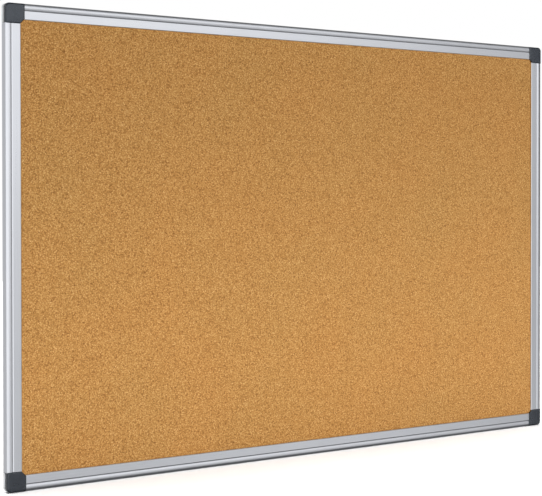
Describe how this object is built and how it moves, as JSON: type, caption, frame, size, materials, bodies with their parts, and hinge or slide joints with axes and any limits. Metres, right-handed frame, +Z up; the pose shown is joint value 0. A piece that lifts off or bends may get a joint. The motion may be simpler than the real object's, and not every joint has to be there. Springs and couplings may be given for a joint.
{
  "type": "cork bulletin board",
  "caption": "Wall-hung cork notice board in an aluminium frame, with plastic corners whose caps pull off to reach the wall screws.",
  "frame": {"origin": "centre of the board's outline on the wall plane, which is the rear of the frame", "axes": "+X to the viewer's right along the long side, +Z up, +Y from the board into the wall, so the cork faces -Y"},
  "size_m": [0.9, 0.0133, 0.6],
  "materials": {
    "cork": "matte",
    "fibreboard": "matte",
    "backing": "matte",
    "aluminium": "satin",
    "light_plastic": "matte",
    "dark_plastic": "satin",
    "screw_steel": "satin"
  },
  "bodies": {
    "board": {"cork_sheet": "cork", "core_board": "fibreboard", "backing_sheet": "backing", "rail_top": "aluminium", "rail_bottom": "aluminium", "rail_left": "aluminium", "rail_right": "aluminium", "corner_body_top_left": "light_plastic", "corner_body_top_right": "light_plastic", "corner_body_bottom_left": "light_plastic", "corner_body_bottom_right": "light_plastic", "rail_screw_top_start": "screw_steel", "rail_screw_top_end": "screw_steel", "rail_screw_right_start": "screw_steel", "rail_screw_right_end": "screw_steel", "rail_screw_bottom_start": "screw_steel", "rail_screw_bottom_end": "screw_steel", "rail_screw_left_start": "screw_steel", "rail_screw_left_end": "screw_steel"},
    "cap_top_left": {"corner_cap_top_left": "dark_plastic"},
    "cap_top_right": {"corner_cap_top_right": "dark_plastic"},
    "cap_bottom_left": {"corner_cap_bottom_left": "dark_plastic"},
    "cap_bottom_right": {"corner_cap_bottom_right": "dark_plastic"}
  },
  "joints": [
    {"name": "cap_pull_top_left", "type": "slide", "parent": "board", "child": "cap_top_left", "axis": [0, -1, 0], "range_m": [0, 0.025]},
    {"name": "cap_pull_top_right", "type": "slide", "parent": "board", "child": "cap_top_right", "axis": [0, -1, 0], "range_m": [0, 0.025]},
    {"name": "cap_pull_bottom_left", "type": "slide", "parent": "board", "child": "cap_bottom_left", "axis": [0, -1, 0], "range_m": [0, 0.025]},
    {"name": "cap_pull_bottom_right", "type": "slide", "parent": "board", "child": "cap_bottom_right", "axis": [0, -1, 0], "range_m": [0, 0.025]}
  ]
}
